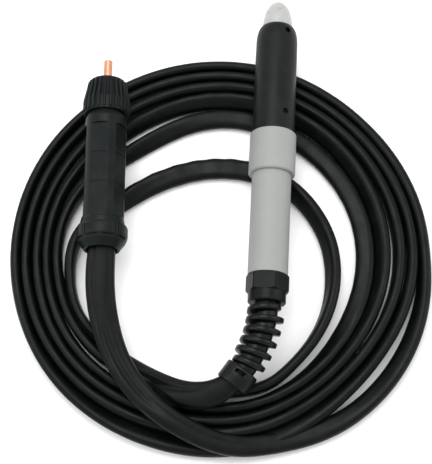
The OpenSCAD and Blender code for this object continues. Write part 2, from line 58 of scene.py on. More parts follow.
# %% [markdown]
# ## Where the eye stands
#
# The coil is best seen from nearly overhead, a little from the cable's side,
# so that each barrel still shows its length. The camera is aimed at a point
# on the floor near the middle of the coil, tipped from the vertical and
# turned a little, because the torch leans a few degrees in the frame.

# %% Camera
MM = 0.001
FLOOR_Z = -44 * MM
COIL_CENTRE = np.array([-48, -165]) * MM
camera_tilt = math.radians(19.5)
camera_turn = math.radians(3.05)
camera_distance = 1.153
camera_lens = 86.1
camera_target = np.array([-0.054, -0.143, FLOOR_Z])


def add_camera():
    """Aims one long-lens camera at the coil."""
    look = np.array([-math.sin(camera_turn) * math.sin(camera_tilt),
                     math.cos(camera_turn) * math.sin(camera_tilt),
                     -math.cos(camera_tilt)])
    data = bpy.data.cameras.new("eye")
    data.lens = camera_lens
    camera = bpy.data.objects.new("eye", data)
    camera.location = camera_target - camera_distance * look
    camera.rotation_euler = (camera_tilt, 0, camera_turn)
    bpy.context.scene.collection.objects.link(camera)
    bpy.context.scene.camera = camera
    return camera


camera = add_camera()
print("camera height above the floor:", round(camera.location.z - FLOOR_Z, 3), "m")

# %% [markdown]
# ## The cable's route
#
# The cable is one piece from the gland to the plug, so it gets one line. Where
# it wanders, that line is a short list of given points, on the same
# route as the CAD model's plain tubes. Where it lies in tidy
# turns, a loop works the line out: each turn has a radius on its right, top,
# left and bottom, and each quarter eases from one to the next.

# %% Leads given point by point
TORCH_LEAD = np.array([
    [0, -222, 0], [0, -232, 0], [-2, -251, 0], [-7, -270, -2],
    [-15, -288, -4], [-27, -305, -6], [-42, -318, -9], [-61, -323, -12],
    [-84, -319, -18], [-117, -302, -30], [-157, -274, -34],
    [-187, -243, -34], [-199, -202, -34], [-196, -158, -34],
    [-158, -123, -34], [-126, -98, -34], [-90, -81, -34], [-54, -74, -34],
    [-17, -77, -34], [16, -90, -34], [43, -116, -34], [62, -150, -34],
    [68, -186, -34], [64, -221, -34], [50, -255, -34], [26, -285, -34],
    [-1, -307, -34]])
PLUG_LEAD = np.array([
    [-165, -178, 3], [-165, -192, 2], [-165, -210, -1], [-162, -235, -5],
    [-155, -262, -9], [-143, -290, -11], [-122, -319, -11],
    [-98, -339, -12], [-70, -354, -17], [-40, -364, -24], [-8, -364, -31]])
print("hand-placed points:", len(TORCH_LEAD) + len(PLUG_LEAD))

# %% How the leads lie
# Half-width and half-thickness in mm, then roll in degrees, for each point:
# 0 or 180 lies flat, 90 stands on edge
TORCH_LIE = np.array([
    [9.8, 9.8, 0], [9.8, 9.8, 0], [9.8, 9.8, 0], [9.8, 9.8, 0], [9.8, 9.8, 0],
    [10.2, 9.3, 0], [12.6, 7.4, 4], [13.8, 6.6, 6], [13.4, 6.5, 8],
    [12, 6.4, 25], [10.6, 6.2, 62], [10, 5.6, 85], [10, 5.5, 90], [10, 5.9, 102],
    [10.2, 6.6, 135], [10.8, 6.8, 166], [11, 6.8, 176], [11, 6.8, 180],
    [10.8, 6.8, 174], [10.2, 6.8, 152], [10, 6.8, 134], [10, 6.8, 126],
    [10, 6.8, 120], [10, 6.6, 106], [10, 6.4, 96], [10, 6.2, 92], [10, 6.2, 90]])
PLUG_LIE = np.array([
    [13.4, 12, 180], [14.4, 11, 180], [14.6, 10.4, 180], [14.4, 9.4, 180],
    [13.8, 8.6, 180], [12.6, 7.8, 180], [11.8, 7.3, 180], [11.2, 7, 180],
    [10.8, 6.9, 180], [10.6, 6.8, 178], [10.4, 6.7, 176]])
print("widest, flat:", 2 * PLUG_LIE[:, 0].max(), "mm")

# %% Tidy turns
# Each turn's radius in mm as it passes the four sides, outermost turn first
TURN_HEIGHT = -34
TURNS = {"left": [209.5, 198.5, 187.5, 177, 167], "top": [208, 196, 183, 169, 149],
         "right": [208, 196, 183, 166, 149], "bottom": [202, 189, 177, 165]}
# How far each turn swells between two sides, outermost first
SWELL = {"upper left": [0, -1, -3, -7, -15], "upper right": [-3.5, -3, -2, -1, -2],
         "lower right": [0, -9, -7, -5, -3], "lower left": [3, 4, 5, 6, 7]}
# The turns stand on edge, but the inner ones lean over where there is room
ROLL = {"left": [90, 90, 90, 94, 92], "top": [90, 92, 96, 134, 168],
        "right": [96, 92, 96, 130, 166], "bottom": [160, 92, 90, 94]}

# The last turn wanders out and lies down on its way to the plug: angle,
# radius, roll, half-width and half-thickness
LAST_TURN = [(0, 208, 98, 10, 6.2), (-15, 211, 118, 10, 6.4),
             (-30, 213, 138, 10, 6.5), (-45, 213, 148, 10, 6.6),
             (-60, 209, 164, 10.2, 6.6)]


def coil_marks():
    """Angle, radius, roll and the swell that follows, at every side passed."""
    marks = [(-95, 150, 90, SWELL["lower left"][4])]
    for k in (4, 3, 2, 1, 0):
        a = -180 - 360 * (4 - k)
        marks += [(a, TURNS["left"][k], ROLL["left"][k], SWELL["upper left"][k]),
                  (a - 90, TURNS["top"][k], ROLL["top"][k], SWELL["upper right"][k]),
                  (a - 180, TURNS["right"][k], ROLL["right"][k],
                   SWELL["lower right"][k])]
        if k:
            marks.append((a - 270, TURNS["bottom"][k - 1], ROLL["bottom"][k - 1],
                          SWELL["lower left"][k - 1]))
    return marks


def coil_row(angle, radius, roll, wide=10.0, thick=6.2):
    """One row of the route: place, half-width, half-thickness and roll."""
    a = math.radians(angle)
    return [COIL_CENTRE[0] * 1000 + radius * math.cos(a),
            COIL_CENTRE[1] * 1000 + radius * math.sin(a), TURN_HEIGHT,
            wide, thick - 0.7 * max(0, -math.cos(a)), roll]


def coil_rows(step=15):
    """Rows round the turns, easing from one side's values to the next."""
    rows = []
    marks = coil_marks()
    for (a0, r0, roll0, swell), (a1, r1, roll1, _) in zip(marks, marks[1:]):
        count = round(abs(a1 - a0) / step)
        for i in range(count):
            share = i / count
            ease = (1 - math.cos(math.pi * share)) / 2
            radius = r0 + (r1 - r0) * ease + swell * math.sin(math.pi * share) ** 2
            rows.append(coil_row(a0 + (a1 - a0) * share, radius,
                                 roll0 + (roll1 - roll0) * ease))
    return np.array(rows + [coil_row(*row) for row in LAST_TURN])


print("rows round the turns:", len(coil_rows()))


# %% One smooth line
def catmull_rom(rows, per_span=12):
    """A curve through every row."""
    p = np.vstack([2 * rows[0] - rows[1], rows, 2 * rows[-1] - rows[-2]])
    t = np.linspace(0, 1, per_span, endpoint=False)[:, None]
    spans = []
    for i in range(1, len(p) - 2):
        a, b, c, d = p[i - 1:i + 3]
        spans.append(0.5 * (2 * b + (c - a) * t + (2 * a - 5 * b + 4 * c - d) * t**2
                            + (3 * b - a - 3 * c + d) * t**3))
    return np.vstack(spans + [rows[-1:]])


def run_length(rows):
    """Distance along a line up to each of its points."""
    steps = np.linalg.norm(np.diff(rows[:, :3], axis=0), axis=1)
    return np.concatenate([[0], np.cumsum(steps)])


def even(rows, spacing):
    """The same line with evenly spaced rows."""
    s = run_length(rows)
    at = np.linspace(0, s[-1], round(s[-1] / spacing) + 1)
    return np.stack([np.interp(at, s, column) for column in rows.T], axis=1)


def bell(width):
    """Weights that fall off as a bell curve, and how far they reach each way."""
    reach = 3 * width
    kernel = np.exp(-0.5 * (np.arange(-reach, reach + 1) / width) ** 2)
    return kernel / kernel.sum(), reach


def relaxed(rows, width):
    """Averages a line with its neighbours, as a stiff cable evens out a bend."""
    kernel, reach = bell(width)
    start = 2 * rows[0] - rows[reach:0:-1]
    end = 2 * rows[-1] - rows[-2:-reach - 2:-1]
    padded = np.vstack([start, rows, end])
    return np.stack([np.convolve(column, kernel, "valid") for column in padded.T],
                    axis=1)


RING_SPACING = 4.2 * MM
STIFFNESS = 3   # rings that each point of the line is evened out over
route = np.vstack([np.hstack([TORCH_LEAD, TORCH_LIE]), coil_rows(),
                   np.hstack([PLUG_LEAD, PLUG_LIE])[::-1]])
route[:, :5] *= MM
cable_rows = even(relaxed(even(catmull_rom(route), RING_SPACING), STIFFNESS),
                  RING_SPACING)
cable_line = cable_rows[:, :3]
along = run_length(cable_rows)
to_plug = along[-1] - along
print("cable length:", round(float(along[-1]), 2), "m")

# %% [markdown]
# ## The sheath
#
# The cable isn't a rod. It is a soft sheath pulled over a power cable and a
# gas hose, so its section is a flattened oval that stands on edge in the
# turns, lies flat where it has room, and bunches into folds where it is
# gathered into the plug. A bevelled curve can't do that, so the sheath is a
# mesh whose rings change shape along the line: each row of the route also
# holds a half-width, a half-thickness and a roll. Folds are grooves that run
# lengthwise and drift slowly round.

# %% Folds and creases
SIDES = 56
FLANK = 0.85            # power that straightens the oval's flanks
ROLL_SWAY = 4           # degrees that the sheath rocks as it runs
RESTS_BELOW = -32.5 * MM    # a line lower than this lies on the floor


def window(distance, start, stop, fade):
    """One between two distances, easing to nothing outside them."""
    rise = np.clip((distance - start) / fade, 0, 1)
    fall = np.clip((stop - distance) / fade, 0, 1)
    share = np.minimum(rise, fall)
    return share * share * (3 - 2 * share)


def groove(angles, centre, width):
    """A rounded groove at one angle of the section."""
    away = np.angle(np.exp(1j * (angles - centre)))
    return np.exp(-0.5 * (away / width) ** 2)


# Start angle, drift per metre, depth in mm, width, and where each fold runs
PLUG_FOLDS = [(-0.95, 1.5, 4.2, 0.13, -1, 0.13), (-1.35, -1.0, 2.4, 0.13, 0.05, 0.2),
              (-2.15, 0.6, 1.3, 0.22, 0.02, 0.3), (-0.35, 0.4, 1.8, 0.16, -1, 0.2),
              (0.9, 1.0, 2.0, 0.2, -1, 0.2), (2.3, -1.0, 2.0, 0.2, -1, 0.2)]
RELIEF_FOLDS = [(0.9, 9.0, 3.4, 0.2, 0.115, 0.2), (2.2, -8.0, 3.2, 0.17, 0.15, 0.27),
                (0.55, 2.0, 1.8, 0.16, 0.12, 0.34), (1.5, 5.0, 1.6, 0.2, 0.21, 0.36),
                (2.7, -2.0, 1.4, 0.2, 0.11, 0.3)]


def sheath_folds(angles):
    """How far each point of each ring sinks, in metres."""
    s = along[:, None]
    p = to_plug[:, None]
    a = angles[None, :]
    sunk = np.zeros((len(along), len(angles)))
    # The sheath dips between the hose and the power cable inside it
    dip = window(s, 0.34, 1.15, 0.08) + 0.45 * window(s, 1.15, 99, 0.1)
    for middle in (0.5, -0.5):
        sunk += 1.0 * MM * dip * groove(a, middle * np.pi + 0.1 * np.sin(5 * s), 0.42)
    for start, drift, depth, width, first, last in PLUG_FOLDS:
        sunk += (depth * MM * window(p, first, last, 0.06)
                 * groove(a, start + drift * p, width))
    for start, drift, depth, width, first, last in RELIEF_FOLDS:
        sunk += (depth * MM * window(s, first, last, 0.03)
                 * groove(a, start + drift * (s - first), width))
    # Soft creases where the sheath lies slack after the bend relief
    crease = np.sin(52 * s + 2.0 * a + 0.6) * np.sin(19 * s - a)
    sunk += 0.7 * MM * window(s, 0.12, 0.4, 0.05) * crease
    # Puckers where the inner turn squeezes the slack sheath
    pucker = np.sin(270 * s + 3 * np.sin(23 * s)) * groove(a, np.pi / 2, 1.2)
    sunk += 0.5 * MM * window(s, 0.38, 0.62, 0.05) * pucker
    sunk += 0.25 * MM * window(s, 1.3, 2.6, 0.2) * pucker
    # A slow unevenness everywhere
    sunk += 0.2 * MM * np.sin(31 * s + 2 * a) * np.sin(13 * s + a + 1)
    return sunk


section_angles = np.linspace(0, 2 * np.pi, SIDES, endpoint=False)
print("deepest fold:", round(1000 * float(sheath_folds(section_angles).max()), 1), "mm")


# %% Meshes from rings
def mesh_piece(name, verts, faces, smooth=True):
    """A new mesh object from plain lists."""
    mesh = bpy.data.meshes.new(name)
    mesh.from_pydata([tuple(v) for v in verts], [], faces)
    mesh.validate()
    mesh.update()
    if smooth:
        mesh.polygons.foreach_set("use_smooth", [True] * len(mesh.polygons))
    piece = bpy.data.objects.new(name, mesh)
    bpy.context.scene.collection.objects.link(piece)
    return piece


def ring_faces(rings, sides):
    """Quads between rings, and a flat end at each end."""
    faces = [list(range(sides))[::-1]]
    for i in range(rings - 1):
        for k in range(sides):
            n = (k + 1) % sides
            faces.append([i * sides + k, i * sides + n,
                          (i + 1) * sides + n, (i + 1) * sides + k])
    last = (rings - 1) * sides
    faces.append([last + k for k in range(sides)])
    return faces


def line_frame(line):
    """Direction, side and up at each point of a line that is nowhere upright."""
    ahead = np.gradient(line, axis=0)
    ahead /= np.linalg.norm(ahead, axis=1)[:, None]
    side = np.cross(ahead, [0, 0, 1])
    side /= np.linalg.norm(side, axis=1)[:, None]
    return ahead, side, np.cross(side, ahead)


def softened(values, width):
    """Takes the corners off a run of values."""
    kernel, reach = bell(width)
    return np.convolve(np.pad(values, reach, mode="edge"), kernel, "valid")


def build_cable():
    """The whole sheath, from inside the gland to inside the lock ring."""
    side, up = line_frame(cable_line)[1:]
    wide, thick = cable_rows[:, 3:4], cable_rows[:, 4:5]
    turn = np.radians(cable_rows[:, 5:6] + ROLL_SWAY * np.sin(9 * along[:, None]))
    a = section_angles[None, :]
    # Straighter flanks than an ellipse, as two round cores give
    u = wide * np.sign(np.cos(a)) * np.abs(np.cos(a)) ** FLANK
    v = thick * np.sign(np.sin(a)) * np.abs(np.sin(a)) ** FLANK
    reach = 1 - sheath_folds(section_angles) / np.hypot(u, v)
    x = reach * (u * np.cos(turn) - v * np.sin(turn))
    y = reach * (u * np.sin(turn) + v * np.cos(turn))
    # What lies on the floor touches it, and nothing goes below it
    gap = FLOOR_Z - (cable_line[:, 2] + y.min(axis=1))
    rests = softened((cable_line[:, 2] < RESTS_BELOW).astype(float), 6)
    lift = np.maximum(gap, 0) + rests * np.minimum(gap, 0)
    points = (cable_line[:, None, :] + x[:, :, None] * side[:, None, :]
              + y[:, :, None] * up[:, None, :])
    points[:, :, 2] += lift[:, None]
    centres = cable_line + np.stack([0 * lift, 0 * lift, lift], axis=1)
    return centres, mesh_piece("cable", points.reshape(-1, 3),
                               ring_faces(len(cable_line), SIDES))


cable_centres, cable = build_cable()
print("cable mesh:", len(cable.data.vertices), "points")

# %% Hang the cable on the torch and hide the CAD tubes
GLAND_EXIT = (0, -230 * MM, 0)
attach(cable, "torch")
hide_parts("cable_torch_lead", "cable_coil", "cable_plug_lead")

# %% [markdown]
# ## The bend relief
#
# On the real torch this is one springy moulding: a thin sleeve round the
# cable, a fin that winds round it like a screw thread, and a short collar at
# the end with a long slot. The CAD model has plain rings in its place. Here
# the fin is swept along a true helix that follows the bend, and it grows out
# of the sleeve at one end and sinks back into it at the other.

# %% Shape of the bend
BEND_RADIUS = 115 * MM
BEND_START = np.array(GLAND_EXIT)
BEND_TURN = 34.5
BEND_DIP = math.radians(12.5)
SLEEVE_RADIUS = 11.2 * MM   # where the fin stands; the skin lies just outside
SLEEVE_WALL = (10.4, 11.7, 11.5)    # bore, and the outside at each end, in mm
SLEEVE_RINGS = 19


def bend_point(angle):
    """A point on the bend's centre line, and the directions there."""
    a = np.radians(angle)
    across = np.array([math.cos(BEND_DIP), 0, math.sin(BEND_DIP)])
    over = np.array([-math.sin(BEND_DIP), 0, math.cos(BEND_DIP)])
    back = np.array([0, 1, 0])
    centre = (BEND_START - across * BEND_RADIUS * (1 - np.cos(a))
              - back * BEND_RADIUS * np.sin(a))
    out = across * np.cos(a) - back * np.sin(a)
    ahead = -across * np.sin(a) - back * np.cos(a)
    return centre, out, over, ahead


print("bend ends at", np.round(bend_point(BEND_TURN)[0] * 1000, 1), "mm")

# %% Spiral fin and sleeve
FIN_PITCH = 5.6     # degrees of the bend for each turn of the fin
FIN_PHASE = 260
FIN_ENDS = (0.3, 34.1)
FIN_TOP = (18.7, 17.4)      # its radius at the gland and at the collar, in mm
FIN_STEPS = 44              # for each turn
# Height as a share of the fin, then distance from its middle in mm
FIN_SECTION = [(-0.5, -4.3), (0.0, -4.2), (0.30, -3.5), (0.75, -2.9), (0.93, -2.5),
               (1.0, -1.9), (1.02, 0), (1.0, 1.9), (0.93, 2.5), (0.75, 2.9),
               (0.30, 3.5), (0.0, 4.2), (-0.5, 4.3)]


def build_fin():
    """One rib that winds from the gland nut to the end collar."""
    first, last = FIN_ENDS
    turns = (last - first) / FIN_PITCH
    steps = round(turns * FIN_STEPS)
    verts = []
    for i in range(steps + 1):
        share = i / steps
        centre, out, over, ahead = bend_point(first + (last - first) * share)
        phi = math.radians(FIN_PHASE + 360 * turns * share)
        radial = math.cos(phi) * out + math.sin(phi) * over
        top = (FIN_TOP[0] + (FIN_TOP[1] - FIN_TOP[0]) * share) * MM - SLEEVE_RADIUS
        grow = min(1, 0.04 + 10 * share, 0.04 + 10 * (1 - share))
        for rise, wide in FIN_SECTION:
            height = rise * MM if rise < 0 else rise * top * grow
            verts.append(centre + radial * (SLEEVE_RADIUS + height)
                         + ahead * wide * MM)
    return verts, ring_faces(steps + 1, len(FIN_SECTION))


def round_rings(stations, sides=64):
    """Rings about the bend: each station is an angle, an offset and a radius."""
    verts = []
    for angle, offset, radius in stations:
        centre, out, over, ahead = bend_point(angle)
        for k in range(sides):
            phi = 2 * math.pi * k / sides
            verts.append(centre + ahead * offset * MM
                         + (math.cos(phi) * out + math.sin(phi) * over) * radius * MM)
    return verts, sides


def tube_faces(rings, sides):
    """Quads round a closed loop of rings, such as a tube with a wall."""
    faces = []
    for i in range(rings):
        j = (i + 1) % rings
        for k in range(sides):
            n = (k + 1) % sides
            faces.append([i * sides + k, i * sides + n,
                          j * sides + n, j * sides + k])
    return faces


def join_meshes(parts):
    """Puts several point and face lists into one."""
    verts, faces = [], []
    for part_verts, part_faces in parts:
        shift = len(verts)
        verts += list(part_verts)
        faces += [[shift + i for i in face] for face in part_faces]
    return verts, faces


def faced_outward(piece, sharp=40):
    """Turns every face outward and keeps real corners crisp."""
    shape = bmesh.new()
    shape.from_mesh(piece.data)
    bmesh.ops.recalc_face_normals(shape, faces=shape.faces)
    for edge in shape.edges:
        edge.smooth = edge.calc_face_angle(0) < math.radians(sharp)
    shape.to_mesh(piece.data)
    shape.free()
    return piece


print("helpers for the relief ready")


# %% End collar and its slot
# Distance past the bend's end, then radius, in mm, round the collar's wall
COLLAR_SECTION = [(0.0, 11.6), (0.0, 15.4), (0.4, 16.3), (1.2, 16.9), (17.4, 17.0),
                  (18.5, 16.5), (19, 15.7), (19, 12.4), (18.5, 11.8), (17.6, 11.5),
                  (1, 11.5)]
SLOT_AHEAD, SLOT_OUT = 5.2, 4.4     # its middle from the bend's end, in mm
SLOT_STRAIGHT, SLOT_ROUND = 3.4, 2.2    # half its straight length, its end radius
SLOT_FLOOR, SLOT_TOP = 9, 21
SLOT_SIDES = 24


def slot_cutter():
    """A long block with round ends, standing over the top of the collar."""
    centre, out, over, ahead = bend_point(BEND_TURN)
    middle = centre + ahead * SLOT_AHEAD * MM + out * SLOT_OUT * MM
    outline = []
    for k in range(SLOT_SIDES):
        a = 2 * math.pi * (k + 0.5) / SLOT_SIDES
        across = (SLOT_STRAIGHT * math.copysign(1, math.cos(a))
                  + SLOT_ROUND * math.cos(a))
        outline.append(middle + out * across * MM
                       + ahead * SLOT_ROUND * math.sin(a) * MM)
    points = [p + over * h * MM for h in (SLOT_FLOOR, SLOT_TOP) for p in outline]
    return faced_outward(mesh_piece("slot_cutter", points,
                                    ring_faces(2, SLOT_SIDES)))


def build_collar():
    """The end collar with the slot cut through its top, as points and faces."""
    verts, sides = round_rings([(BEND_TURN, o, r) for o, r in COLLAR_SECTION])
    collar = faced_outward(mesh_piece("end_collar", verts,
                                      tube_faces(len(COLLAR_SECTION), sides)))
    cutter = slot_cutter()
    cut = collar.modifiers.new("slot", "BOOLEAN")
    cut.object = cutter
    cut.operation = "DIFFERENCE"
    cut.solver = "EXACT"
    bpy.context.view_layer.objects.active = collar
    bpy.ops.object.modifier_apply(modifier=cut.name)
    lists = ([v.co.copy() for v in collar.data.vertices],
             [list(face.vertices) for face in collar.data.polygons])
    for spare in (cutter, collar):
        bpy.data.objects.remove(spare)
    return lists


def build_relief():
    """Sleeve, fin and end collar, as one piece."""
    bore, thick, thin = SLEEVE_WALL
    stations = np.linspace(0, BEND_TURN, SLEEVE_RINGS)
    outer = [(a, 0, thick - (thick - thin) * a / BEND_TURN) for a in stations]
    inner = [(a, 0, bore) for a in stations[::-1]]
    sleeve, sides = round_rings(outer + inner)
    return faced_outward(mesh_piece("spiral_bend_relief", *join_meshes([
        (sleeve, tube_faces(len(outer + inner), sides)), build_collar(), build_fin()])))


relief = build_relief()
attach(relief, "torch")
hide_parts("bend_relief")
print("bend relief:", len(relief.data.polygons), "faces")

# %% [markdown]
# ## Soft edges on the hard parts
#
# A moulded or turned edge is never perfectly sharp, and it is the thin bright
# line along it that tells the eye how big a part is. A bevel modifier adds
# that line without touching the CAD shape, and the shading is smoothed over
# everything but real corners.

# %% Bevels
EDGE_ANGLE = math.radians(32)
EDGES = {0.5: ["front_barrel", "collar_sleeve", "gland_nut", "rear_lock_ring"],
         0.25: ["plug_handle", "coupling_nut", "handle_tube",
                "wire_inlet_tube", "power_pin", "gas_nozzle"]}


def soften_edges(piece, width):
    """Rounds a part's sharp edges by a width in millimetres."""
    bevel = piece.modifiers.new("soft edges", "BEVEL")
    bevel.width = width * MM
    bevel.segments = 2
    bevel.limit_method = "ANGLE"
    bevel.angle_limit = EDGE_ANGLE
    bevel.harden_normals = True


for width, names in EDGES.items():
    for name in names:
        soften_edges(nodes[name], width)
print("bevelled:", sum(len(v) for v in EDGES.values()), "parts")

# %% [markdown]
# ## Shared surface effects
#
# Most of this object is moulded plastic and rubber, so the same few effects
# come back in many finishes: a fine grain, a slow cloudiness that breaks up
# an even colour, and dust that settles on top. Each is a node group, made
# once and placed in every material with its own values.


# %% Node helpers
def new_group(name, inputs, outputs):
    """An empty shader group with named float or colour sockets."""
    group = bpy.data.node_groups.new(name, "ShaderNodeTree")
    for label, value in inputs:
        kind = "NodeSocketColor" if isinstance(value, tuple) else "NodeSocketFloat"
        socket = group.interface.new_socket(label, in_out="INPUT", socket_type=kind)
        socket.default_value = value
    for label, kind in outputs:
        group.interface.new_socket(label, in_out="OUTPUT",
                                   socket_type="NodeSocket" + kind)
    source = group.nodes.new("NodeGroupInput")
    sink = group.nodes.new("NodeGroupOutput")
    return group, source.outputs, sink.inputs


def maths(tree, operation, a, b=None, clamp=False):
    """One arithmetic node; a and b are sockets or numbers."""
    node = tree.nodes.new("ShaderNodeMath")
    node.operation = operation
    node.use_clamp = clamp
    for socket, value in zip(node.inputs, (a, b)):
        if value is None:
            continue
        if hasattr(value, "is_output"):
            tree.links.new(value, socket)
        else:
            socket.default_value = value
    return node.outputs[0]


def spread(tree, value, low, high, out_low=0.0, out_high=1.0):
    """Stretches a value from one range to another."""
    node = tree.nodes.new("ShaderNodeMapRange")
    tree.links.new(value, node.inputs["Value"])
    for label, number in (("From Min", low), ("From Max", high),
                          ("To Min", out_low), ("To Max", out_high)):
        if hasattr(number, "is_output"):
            tree.links.new(number, node.inputs[label])
        else:
            node.inputs[label].default_value = number
    return node.outputs["Result"]


def mixed(tree, share, a, b, mode="MIX"):
    """Mixes two colours."""
    node = tree.nodes.new("ShaderNodeMix")
    node.data_type = "RGBA"
    node.blend_type = mode
    for index, value in ((0, share), (6, a), (7, b)):
        if hasattr(value, "is_output"):
            tree.links.new(value, node.inputs[index])
        else:
            node.inputs[index].default_value = value
    return node.outputs[2]


def noise(tree, place, scale, detail=3.0, rough=0.5):
    """Noise in object space; scale is in features per metre."""
    node = tree.nodes.new("ShaderNodeTexNoise")
    tree.links.new(place, node.inputs["Vector"])
    if hasattr(scale, "is_output"):
        tree.links.new(scale, node.inputs["Scale"])
    else:
        node.inputs["Scale"].default_value = scale
    node.inputs["Detail"].default_value = detail
    node.inputs["Roughness"].default_value = rough
    return node.outputs["Fac"]


print("helpers ready")


# %% Grain, clouds and dust
def make_grain():
    """Fine moulded grain, as a height."""
    tree, ask, give = new_group("moulded grain", [("Scale", 900.0), ("Coarse", 0.3)],
                                [("Height", "Float")])
    place = tree.nodes.new("ShaderNodeTexCoord").outputs["Object"]
    fine = noise(tree, place, ask["Scale"], 4, 0.6)
    coarse = noise(tree, place, maths(tree, "MULTIPLY", ask["Scale"], 0.22), 2)
    share = maths(tree, "MULTIPLY", coarse, ask["Coarse"])
    height = maths(tree, "ADD", fine, share)
    tree.links.new(height, give["Height"])
    return tree


def make_clouds():
    """A slow change of tone over a few centimetres."""
    tree, ask, give = new_group(
        "cloudy tone",
        [("Base", (0.5, 0.5, 0.5, 1)), ("Change", 0.12), ("Scale", 30.0)],
        [("Color", "Color"), ("Mask", "Float")])
    place = tree.nodes.new("ShaderNodeTexCoord").outputs["Object"]
    slow = spread(tree, noise(tree, place, ask["Scale"], 4, 0.55), 0.35, 0.68)
    low = maths(tree, "SUBTRACT", 1.0, ask["Change"])
    high = maths(tree, "ADD", 1.0, ask["Change"])
    level = spread(tree, slow, 0.0, 1.0, low, high)
    grey = tree.nodes.new("ShaderNodeCombineColor")
    for socket in grey.inputs[:3]:
        tree.links.new(level, socket)
    tree.links.new(mixed(tree, 1.0, ask["Base"], grey.outputs[0], "MULTIPLY"),
                   give["Color"])
    tree.links.new(slow, give["Mask"])
    return tree


def make_dust():
    """A thin pale dust that lies on what faces up, thicker in patches."""
    tree, ask, give = new_group(
        "settled dust", [("Base", (0.5, 0.5, 0.5, 1)), ("Dust", (0.42, 0.42, 0.40, 1)),
                         ("Amount", 0.08)], [("Color", "Color"), ("Mask", "Float")])
    place = tree.nodes.new("ShaderNodeTexCoord").outputs["Object"]
    normal = tree.nodes.new("ShaderNodeNewGeometry").outputs["Normal"]
    parts = tree.nodes.new("ShaderNodeSeparateXYZ")
    tree.links.new(normal, parts.inputs[0])
    upward = spread(tree, parts.outputs["Z"], 0.2, 1.0)
    patches = spread(tree, noise(tree, place, 70.0, 6, 0.65), 0.42, 0.75)
    specks = spread(tree, noise(tree, place, 1500.0, 2, 0.5), 0.62, 0.72)
    both = maths(tree, "ADD", patches, maths(tree, "MULTIPLY", specks, 0.5))
    mask = maths(tree, "MULTIPLY", maths(tree, "MULTIPLY", upward, both),
                 ask["Amount"], clamp=True)
    tree.links.new(mixed(tree, mask, ask["Base"], ask["Dust"]), give["Color"])
    tree.links.new(mask, give["Mask"])
    return tree


GRAIN = make_grain()
CLOUDS = make_clouds()
DUST = make_dust()
print("groups:", [g.name for g in (GRAIN, CLOUDS, DUST)])


# %% [markdown]
# ## Finishes
#
# Every plastic is the same recipe with its own numbers: a cloudy base colour,
# a dust layer, a roughness that varies a little with both, and grain through
# a bump node. The black parts differ mainly in gloss and grain: the barrel is
# smooth satin, the plug is finely textured, the relief and the sheath are
# softer and oilier. The metals swap the grain for drawn or turned lines.

# %% Plastic and rubber
def place_group(tree, group, **values):
    """Places a shared group in a material and sets its inputs."""
    node = tree.nodes.new("ShaderNodeGroup")
    node.node_tree = group
    for label, value in values.items():
        if hasattr(value, "is_output"):
            tree.links.new(value, node.inputs[label])
        else:
            node.inputs[label].default_value = value
    return node.outputs


def new_material(name):
    """A material with only its shader, and that shader's node tree."""
    material = bpy.data.materials.new(name)
    material.use_nodes = True
    tree = material.node_tree
    return material, tree, tree.nodes["Principled BSDF"]


def bumped(tree, shader, height, depth):
    """Sends a height to the shader's normal; depth is in millimetres."""
    bump = tree.nodes.new("ShaderNodeBump")
    bump.inputs["Strength"].default_value = 1.0
    bump.inputs["Distance"].default_value = depth * MM
    tree.links.new(height, bump.inputs["Height"])
    tree.links.new(bump.outputs["Normal"], shader.inputs["Normal"])


def moulded(name, base, rough=0.45, rough_change=0.08, grain=900.0, depth=0.03,
            change=0.12, dust=0.06, coarse=0.3, specular=0.5):
    """A moulded plastic or rubber finish."""
    material, tree, shader = new_material(name)
    tone = place_group(tree, CLOUDS, Base=(*base, 1), Change=change, Scale=34.0)
    top = place_group(tree, DUST, Base=tone["Color"], Amount=dust)
    skin = place_group(tree, GRAIN, Scale=grain, Coarse=coarse)
    tree.links.new(top["Color"], shader.inputs["Base Color"])
    varied = spread(tree, tone["Mask"], 0, 1, rough - rough_change,
                    rough + rough_change)
    matter = maths(tree, "ADD", varied, maths(tree, "MULTIPLY", top["Mask"], 0.5), True)
    tree.links.new(matter, shader.inputs["Roughness"])
    shader.inputs["Specular IOR Level"].default_value = specular
    bumped(tree, shader, skin["Height"], depth)
    return material


barrel_black = moulded("barrel satin black", (0.0036, 0.0054, 0.0048), rough=0.46,
                       grain=1500, depth=0.012, dust=0.01, specular=0.13)
handle_grey = moulded("handle matt grey", (0.225, 0.232, 0.225), rough=0.62,
                      grain=1300, depth=0.04, change=0.035, dust=0.02)
gland_black = moulded("gland satin black", (0.0020, 0.0032, 0.0032), rough=0.40,
                      grain=1000, depth=0.02, dust=0.01, specular=0.11)
relief_black = moulded("relief soft black", (0.0024, 0.0036, 0.0036), rough=0.33,
                       grain=700, depth=0.03, dust=0.012, specular=0.15)
plug_black = moulded("plug textured black", (0.0030, 0.0050, 0.0048), rough=0.42,
                     grain=1700, depth=0.05, dust=0.012, coarse=0.5, specular=0.12)
clamp_grey = moulded("clamp grey", (0.42, 0.42, 0.40), rough=0.55)
seal_rubber = moulded("seal rubber", (0.009, 0.009, 0.009), rough=0.6, dust=0.02,
                      specular=0.3)
ceramic = moulded("cream ceramic", (0.72, 0.68, 0.58), rough=0.5, change=0.05)
print("plastics:", 8)


